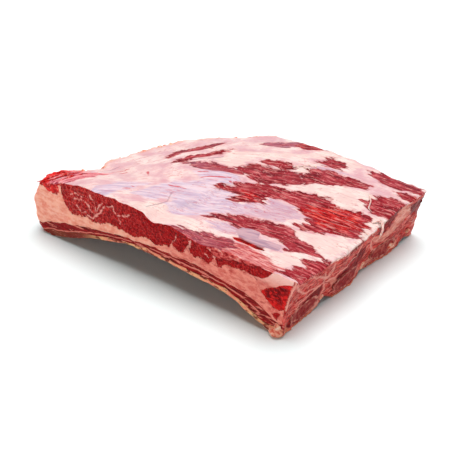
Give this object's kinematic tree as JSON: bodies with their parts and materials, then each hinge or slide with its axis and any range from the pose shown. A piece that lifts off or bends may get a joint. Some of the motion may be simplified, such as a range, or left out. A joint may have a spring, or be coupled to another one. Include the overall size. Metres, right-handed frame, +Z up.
{
  "type": "raw beef short ribs",
  "caption": "Slab of raw beef short ribs, sawn across its ribs at one end, with layers of lean and fat over the bones, arched underneath.",
  "frame": {"origin": "on the table, under the middle of the slab's bounding box", "axes": "+X along the ribs towards the sawn end, +Y from the near knife cut to the far one, +Z up through the meat"},
  "size_m": [0.3078, 0.216, 0.0707],
  "materials": {
    "lean": "wet, with fine grain and thin veins of fat",
    "fat": "moist, waxy",
    "rib_meat": "wet, streaked with fat",
    "inner_fat": "moist, under a thin skin",
    "bone": "freshly sawn, with red marrow"
  },
  "bodies": {
    "root": {"upper_lean": "lean", "seam_fat": "fat", "rib_meat": "rib_meat", "inner_fat": "inner_fat", "rib_bone_1": "bone", "rib_bone_2": "bone", "rib_bone_3": "bone"}
  },
  "joints": []
}
